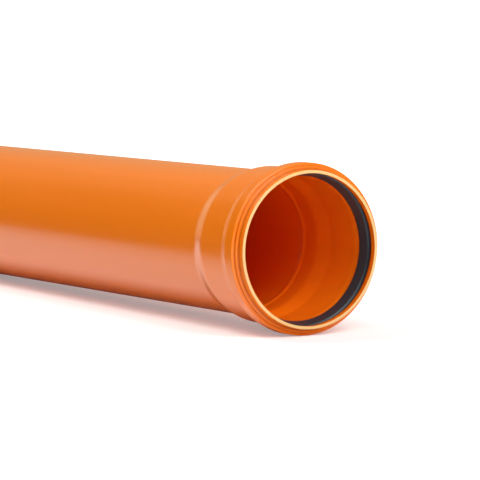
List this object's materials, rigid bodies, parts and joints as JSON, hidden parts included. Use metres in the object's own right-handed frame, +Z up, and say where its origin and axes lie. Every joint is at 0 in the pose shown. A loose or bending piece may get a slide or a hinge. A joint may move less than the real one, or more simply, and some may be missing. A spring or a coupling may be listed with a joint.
{
  "type": "pvc sewer pipe",
  "caption": "Round plastic sewer pipe with a belled push-fit socket and bead at one end, a rubber lip seal in the socket and a chamfered plain spigot at the other end.",
  "frame": {"origin": "on the floor, under the middle of the pipe as it lies", "axes": "+X along the pipe towards the mouth of the socket, +Z up. The pipe lies on its bead and on the end of its spigot, so its axis climbs 0.66 degrees from the floor towards the mouth"},
  "size_m": [1.0878, 0.1844, 0.1845],
  "materials": {
    "orange_pvc": "gloss",
    "seal_rubber": "satin"
  },
  "bodies": {
    "root": {"pipe": "orange_pvc", "seal_ring": "seal_rubber"}
  },
  "joints": []
}
